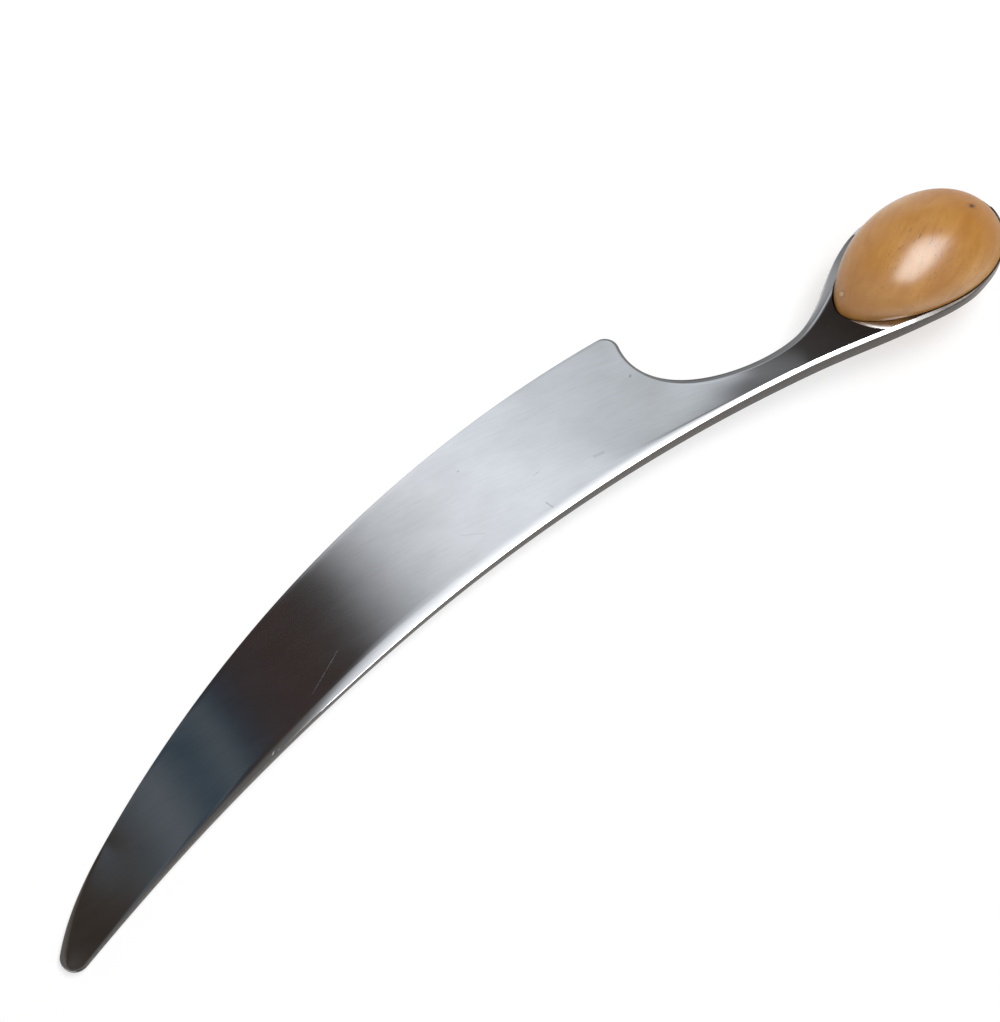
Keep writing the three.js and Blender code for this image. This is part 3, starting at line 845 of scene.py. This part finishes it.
def egg_wood():
    made, g = material("egg_wood")
    ring = IN_METRES @ RING_PLACE
    turn = ring.to_3x3().normalized().to_4x4()
    spot = g.local(Matrix.Translation(ring.to_translation()) @ turn)
    x, y, z = g.xyz(spot)
    along = x * math.cos(GRAIN_TURN) + y * math.sin(GRAIN_TURN)
    across = y * math.cos(GRAIN_TURN) - x * math.sin(GRAIN_TURN)
    figure = g.noise(g.vector(along * 0.07, across * 0.26, z * 0.26), 1.0, 3.0, 0.55, 0.6)
    cloud = g.noise(g.vector(x, y, z), 0.11, 2.0, 0.5)
    fibre = g.noise(g.vector(along * 0.22, across * 2.1, z * 2.1), 1.0, 3.0, 0.6)
    pores = g.noise(g.vector(along * 0.55, across * 4.2, z * 4.2), 1.0, 1.0, 0.5)
    away = distance((x, y), CROWN).over(4, 10)
    pore = pores.over(0.64, 0.71) * (1 - away * (1 - 0.5 * cloud.over(0.45, 0.62)))
    wobble = g.noise(g.vector(x, y, z), 1.5, 2.0, 0.6) - 0.5
    knot = distance((x, y, z), KNOT, KNOT_SQUEEZE) + wobble * 1.4
    eye = distance((x, y, z), EYE) + wobble * 1.2
    above_seam = z.math("ABSOLUTE", z) - RING_FACE

    tone = g.layered(g.ramp(figure * 0.65 + cloud * 0.35, WOOD_TONES), [
        # Darker towards the butt end and towards the neck end of the egg.
        (x.over(4, 16) * 0.60, BUTT_TONE),
        ((1 - x.over(-20, -5)) * 0.42, NECK_END_TONE),
        (fibre.over(0.5, 0.75) * 0.25, FIBRE_TONE),
        (pore * 0.7, PORE_TONE),
        ((1 - knot.over(0.5, 1.7)) * 0.5, KNOT_EDGE_TONE),
        ((1 - knot.over(0.25, 0.8)) * 0.92, KNOT_TONE),
        ((1 - eye.over(0.75, 1.15)) * 0.6, EYE_EDGE_TONE),
        ((1 - eye.over(0.30, 0.75)) * 0.6, EYE_TONE),
        # Painted shade: a near-black band on the egg just above the ring's face, for the shadow in the
        # crevice.
        ((1 - above_seam.over(0.0, 0.6)) * 0.92, CREVICE_SHADE_TONE)])
    wax = (0.75 + 0.25 * cloud) * (0.15 + 0.85 * above_seam.over(0.3, 4.0))
    wax = wax * (1 - 0.55 * x.over(3, 14))
    height = fibre * 0.25 - pore * 0.7 + cloud * 0.3
    finish_surface(g, Base_Color=tone, Roughness=0.42 + 0.12 * fibre, Coat_Weight=wax, Coat_Roughness=0.26,
                   Coat_IOR=1.75, Specular_IOR_Level=0.05, Normal=g.bump(height, 0.25, 0.0002))
    return made


def beech_dowel():
    made, g = material("beech_dowel")
    x, y, z = g.xyz(g.local(REST))
    rays = g.noise(g.vector(x * 3.0, y * 3.0, z * 0.3), 1.0, 3.0, 0.6)
    tone = g.ramp(rays, [(0.35, (0.50, 0.34, 0.19)), (0.65, (0.68, 0.50, 0.30))])
    finish_surface(g, Base_Color=tone, Roughness=0.6 + 0.2 * rays, Normal=g.bump(rays, 0.2, 0.0001))
    return made


def cured_resin():
    made, g = material("cured_resin")
    x, y, z = g.xyz(g.local(REST))
    bubbles = g.noise(g.vector(x, y, z), 0.9, 2.0, 0.5)
    tone = g.ramp(bubbles, [(0.35, (0.20, 0.15, 0.08)), (0.65, (0.30, 0.23, 0.13))])
    finish_surface(g, Base_Color=tone, Roughness=0.4 + 0.2 * bubbles, Normal=g.bump(bubbles, 0.2, 0.0001))
    return made


# Egg halves by Geometry Nodes: a grid wound round the oval and up over foot and dome

EGG_AROUND = 192
EGG_ROWS = 100
UNDERSIDE_SHARE = 0.05
FOOT_SHARE = 0.10
WELD = 0.002


def egg_tree(wood):
    tree = bpy.data.node_groups.new("egg_half", "GeometryNodeTree")
    g = Graph(tree)
    sizes = ("Half Length", "Half Width", "Bluntness", "Foot Height", "Ring Height", "Rise",
             "Swell", "Evening", "Shortening")
    for name in sizes:
        tree.interface.new_socket(name, in_out="INPUT", socket_type="NodeSocketFloat")
    tree.interface.new_socket("Geometry", in_out="OUTPUT", socket_type="NodeSocketGeometry")
    entry = g.node("NodeGroupInput").socket.node
    wires = [Wire(g, entry.outputs[name]) for name in sizes]
    length, width, bluntness, foot, ring, rise, swell, evening, shortening = wires

    grid = g.node("GeometryNodeMeshGrid", None, {
        "Size X": 1.0, "Size Y": 1.0, "Vertices X": EGG_AROUND + 1, "Vertices Y": EGG_ROWS + 1})
    u, v, _ = g.xyz(g.node("GeometryNodeInputPosition"))
    angle = (u + 0.5) * (2 * math.pi)
    row = v + 0.5
    under = (row / UNDERSIDE_SHARE).clamped()
    up_foot = ((row - UNDERSIDE_SHARE) / (FOOT_SHARE - UNDERSIDE_SHARE)).clamped()
    dome = ((row - FOOT_SHARE) / (1 - FOOT_SHARE)).clamped() * (math.pi / 2)
    scale = under * dome.cos()
    bulge = (dome * 2).sin()
    x = length * angle.cos() * scale * (1 - shortening * bulge)
    taper = 1 + (bluntness - evening * bulge) * angle.cos()
    y = width * angle.sin() * taper * scale * (1 + swell * bulge)
    z = foot + (ring - foot) * up_foot + rise * dome.sin()
    shell = g.node("GeometryNodeSetPosition", None, {"Geometry": grid, "Position": g.vector(x, y, z)})
    closed = g.node("GeometryNodeMergeByDistance", None, {"Geometry": shell, "Distance": WELD})
    whole = g.node("GeometryNodeRealizeInstances", None, {"Geometry": closed})
    painted = g.node("GeometryNodeSetMaterial", None, {"Geometry": whole, "Material": wood})
    g.node("NodeGroupOutput", None, {"Geometry": painted})
    return tree


def egg_half(name, tree, flip):
    """One half; only the upper one is fuller than a plain dome."""
    fullness = 0.0 if flip else 1.0
    made = mesh_object(name, [], [], Matrix())
    shape = made.modifiers.new("egg", "NODES")
    shape.node_group = tree
    values = {
        "Half Length": BORE_LENGTH / 2 - EGG_CLEARANCE, "Half Width": BORE_WIDTH / 2 - EGG_CLEARANCE,
        "Bluntness": BORE_BLUNTNESS, "Foot Height": EGG_FOOT, "Ring Height": RING_FACE, "Rise": EGG_RISE,
        "Swell": EGG_SWELL * fullness, "Evening": EGG_EVENING * fullness,
        "Shortening": EGG_SHORTENING * fullness}
    for socket in tree.interface.items_tree:
        if socket.in_out == "INPUT":
            shape[socket.identifier] = values[socket.name]
    settled(made)
    turn = Matrix.Rotation(math.pi if flip else 0.0, 4, "X")
    made.data.transform(IN_METRES @ RING_PLACE @ turn)
    outward(made)
    carve(made, dowel_sockets(turn))
    shade_smooth(made, EGG_CREASE)
    return made


def outward(made):
    bm = bmesh.new()
    bm.from_mesh(made.data)
    bmesh.ops.recalc_face_normals(bm, faces=bm.faces)
    bm.to_mesh(made.data)
    bm.free()


def dowel_sockets(turn):
    sockets = []
    for end in (-1, 1):
        bm = bmesh.new()
        centre = Matrix.Translation((end * DOWEL_SPACING / 2, 0, EGG_FOOT))
        bmesh.ops.create_cone(bm, cap_ends=True, segments=SOCKET_SIDES, radius1=SOCKET_RADIUS,
                              radius2=SOCKET_RADIUS, depth=2 * SOCKET_DEPTH,
                              matrix=IN_METRES @ RING_PLACE @ turn @ centre)
        mesh = bpy.data.meshes.new("socket")
        bm.to_mesh(mesh)
        bm.free()
        socket = bpy.data.objects.new("socket", mesh)
        bpy.context.scene.collection.objects.link(socket)
        sockets.append(socket)
    return sockets


# Pieces

def make_steel():
    made = solid_blank()
    carve(made, bore_tools())
    shade_smooth(made, STEEL_CREASE)
    mark_painted_dark_reflection(made)
    made.data.materials.clear()
    made.data.materials.append(brushed_steel())
    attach(made, "root")
    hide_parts("steel_blank")


def make_egg():
    wood = egg_wood()
    tree = egg_tree(wood)
    for name, flip in (("upper_egg_half", False), ("lower_egg_half", True)):
        made = egg_half(name + "_turned", tree, flip)
        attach(made, "root")
        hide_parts(name)


def dress_hidden_pieces():
    beech, resin = beech_dowel(), cured_resin()
    for name, finish in (("front_dowel", beech), ("rear_dowel", beech),
                         ("upper_bond", resin), ("lower_bond", resin)):
        carried = bpy.data.objects[name]
        carried.data.materials.clear()
        carried.data.materials.append(finish)


# Studio

FLOOR_RADIUS = 3.0
WALL_HEIGHT = 1.0
FLOOR_GLOW = 0.65
STAGE_SIDES = 96


def pale_stage():
    made, g = material("pale_stage")
    path = g.node("ShaderNodeLightPath").socket.node
    rays = ("Is Camera Ray", "Is Glossy Ray", "Is Transmission Ray")
    seen = [Wire(g, path.outputs[name]) for name in rays]
    shown = (seen[0] + seen[1] + seen[2]).clamped()
    paint = g.node("ShaderNodeBsdfDiffuse", None, {"Color": (0.97, 0.97, 0.97, 1.0)})
    glow = g.node("ShaderNodeEmission", None, {"Color": (1.0, 1.0, 1.0, 1.0), "Strength": 1.0})
    mixed = g.node("ShaderNodeMixShader", None, {0: shown * FLOOR_GLOW, 1: paint, 2: glow})
    g.node("ShaderNodeOutputMaterial", None, {0: mixed})
    return made


def make_stage():
    paint = pale_stage()
    rim = [polar(2 * math.pi * i / STAGE_SIDES, FLOOR_RADIUS) for i in range(STAGE_SIDES)]
    low = [(p.x, p.y, 0.0) for p in rim]
    high = [(p.x, p.y, WALL_HEIGHT) for p in rim]
    floor = mesh_object("floor", low, [tuple(range(STAGE_SIDES))], Matrix())
    sides = []
    for i in range(STAGE_SIDES):
        j = (i + 1) % STAGE_SIDES
        sides.append((STAGE_SIDES + i, STAGE_SIDES + j, j, i))
    backdrop = mesh_object("backdrop", low + high, sides, Matrix())
    for made in (floor, backdrop):
        made.data.materials.append(paint)


# Cards hung over the blade, from tip to heel: place and tone of each band
CARD_SPAN = 0.7
CARDS = [
    (0.000, (0.160, 0.145, 0.130)), (0.085, (0.050, 0.037, 0.028)), (0.108, (0.050, 0.037, 0.029)),
    (0.112, (0.084, 0.082, 0.080)), (0.117, (0.080, 0.098, 0.116)), (0.130, (0.150, 0.168, 0.182)),
    (0.138, (0.105, 0.124, 0.144)), (0.143, (0.055, 0.080, 0.100)), (0.150, (0.038, 0.062, 0.084)),
    (0.155, (0.060, 0.084, 0.104)), (0.161, (0.122, 0.142, 0.156)), (0.165, (0.100, 0.118, 0.132)),
    (0.170, (0.034, 0.052, 0.072)), (0.175, (0.036, 0.044, 0.058)), (0.181, (0.052, 0.041, 0.042)),
    (0.200, (0.057, 0.040, 0.037)), (0.226, (0.057, 0.043, 0.040)), (0.240, (0.085, 0.080, 0.080)),
    (0.262, (0.48, 0.49, 0.51)), (0.277, (0.78, 0.80, 0.83)), (0.310, (1.05, 1.07, 1.11)),
    (0.340, (1.12, 1.16, 1.22)), (0.400, (0.90, 0.95, 1.00)), (0.500, (0.60, 0.62, 0.64)),
    (0.620, (0.50, 0.51, 0.52))]
CARD_SLANT = 0.25
CARD_MIDDLE = 0.475

# Smaller cards in front of them: rise and fall along the knife, rise and fall across it, and tone
SMALL_CARDS = {
    "near": (None, (0.20, 0.235), None, (0.29, 0.39), (0.160, 0.155, 0.148)),
    "hollow": ((0.49, 0.53), None, (0.50, 0.55), None, (0.28, 0.28, 0.285)),
    "neck": ((0.40, 0.44), None, (0.28, 0.37), (0.41, 0.60), (0.20, 0.20, 0.205)),
    "flag": ((0.44, 0.52), None, (-0.02, 0.1), (0.40, 0.50), (0.035, 0.027, 0.023)),
    "strip": ((0.235, 0.28), (0.40, 0.46), None, (0.05, 0.40), (1.9, 1.9, 1.9))}
FAR_CARD = ((0.24, 0.30), (0.52, 0.62), (0.56, 0.85), None)
FAR_FADE = (0.75, 0.92)
FAR_TONES = [(0.13, 0.13, 0.135), (0.40, 0.40, 0.41)]
HUNG_AREA = ((-0.5, -0.25), (0.75, 0.95), (-0.6, -0.4), (0.95, 1.3))


def area(p, q, p_rise, p_fall, q_rise, q_fall):
    """1 inside a soft-edged rectangle; a side left out is open."""
    inside = 1.0
    for wire, rise, fall in ((p, p_rise, p_fall), (q, q_rise, q_fall)):
        if rise:
            inside = wire.over(*rise) * inside
        if fall:
            inside = (1 - wire.over(*fall)) * inside
    return inside


def hung_cards(g, p, q):
    slant = p - CARD_SLANT * (q - CARD_MIDDLE)
    bands = g.ramp(slant / CARD_SPAN, [(place / CARD_SPAN, tone) for place, tone in CARDS])
    far_tone = g.blend(q.over(*FAR_FADE), *FAR_TONES)
    layers = [(area(p, q, *FAR_CARD), far_tone)]
    for *edges, tone in SMALL_CARDS.values():
        layers.append((area(p, q, *edges), tone))
    return g.layered(bands, layers)


def tent_walls(g, x, z, p, q):
    behind = q.over(0.85, 1.15) * z.over(0.05, 0.15)
    pale_wall = p.over(0.20, 0.30) * q.over(1.15, 1.35) * z.over(0.15, 0.3)
    return g.layered(g.blend(z.over(-0.1, 0.9), (0.46, 0.47, 0.48), (0.56, 0.56, 0.56)), [
        (x.over(0.45, 0.75) * z.over(0.0, 0.2), (0.21, 0.185, 0.16)),
        (pale_wall, (0.95, 0.95, 0.95)),
        (p.over(0.44, 0.58) * behind, (0.31, 0.31, 0.315)),
        (p.over(0.60, 0.90) * behind, (0.17, 0.165, 0.16))])


def make_world():
    """Pale tent; the cards hung over the blade are laid out on a plane at unit height."""
    world = bpy.data.worlds.new("light_tent")
    bpy.context.scene.world = world
    world.use_nodes = True
    g = Graph(world.node_tree)
    look = g.node("ShaderNodeTexCoord", None, None, out="Generated")
    flat = g.node("ShaderNodeMapping", {"vector_type": "TEXTURE"}, {
        "Vector": look, "Rotation": REST.to_3x3().to_euler()})
    x, y, z = g.xyz(flat)
    height = z.math("MAXIMUM", z, 0.05)
    p, q = x / height, y / height
    hung = area(p, q, *HUNG_AREA)
    tone = g.blend(hung, tent_walls(g, x, z, p, q), hung_cards(g, p, q))
    light = g.node("ShaderNodeBackground", None, {0: tone, 1: 1.0})
    g.node("ShaderNodeOutputWorld", None, {0: light})


KEY_LENGTH = 0.8
KEY_WIDTH = 0.42
KEY_LEVEL = 7.6
KEY_PLACE = Vector((0.44, -0.155, 0.96))
KEY_AIM = Vector((0.19, 0.01, 0.0))
KEY_RUN = Vector((0.885, 0.466, 0.0))


def make_key_lamp():
    """Long soft box overhead; its level is the brightness that a mirror would show."""
    data = bpy.data.lights.new("soft_box", "AREA")
    data.shape = "RECTANGLE"
    data.size = KEY_LENGTH
    data.size_y = KEY_WIDTH
    data.energy = KEY_LEVEL * math.pi * KEY_LENGTH * KEY_WIDTH
    lamp = bpy.data.objects.new("soft_box", data)
    bpy.context.scene.collection.objects.link(lamp)
    place = REST @ KEY_PLACE
    aim = REST @ KEY_AIM
    length = (REST.to_3x3() @ KEY_RUN).normalized()
    back = (place - aim).normalized()
    side = back.cross(length).normalized()
    length = side.cross(back)
    turn = Matrix((length, side, back)).transposed().to_4x4()
    lamp.matrix_world = Matrix.Translation(place) @ turn


# Camera in the knife's own frame; the focal length is in pixels of a picture of this height
FOCAL_LENGTH = 2600
PICTURE_HEIGHT = 1022
CAMERA_PLACE = Vector((-35.67, -164.63, 459.13))
CAMERA_FORWARD = Vector((0.30365, 0.35806, -0.88294))
CAMERA_TURN = math.radians(40.3)


def make_camera():
    data = bpy.data.cameras.new("camera")
    data.sensor_width = 36.0
    data.lens = FOCAL_LENGTH / PICTURE_HEIGHT * data.sensor_width
    data.clip_start = 0.01
    camera = bpy.data.objects.new("camera", data)
    bpy.context.scene.collection.objects.link(camera)
    forward = CAMERA_FORWARD.normalized()
    right = Vector((math.cos(CAMERA_TURN), -math.sin(CAMERA_TURN), 0.0))
    up = right.cross(forward)
    axes = Matrix((right, up, -forward)).transposed().to_4x4()
    camera.matrix_world = REST @ Matrix.Translation(CAMERA_PLACE * MM) @ axes
    bpy.context.scene.camera = camera


make_camera()
make_steel()
make_egg()
dress_hidden_pieces()
make_stage()
make_world()
make_key_lamp()
bpy.context.scene.view_settings.view_transform = "Standard"
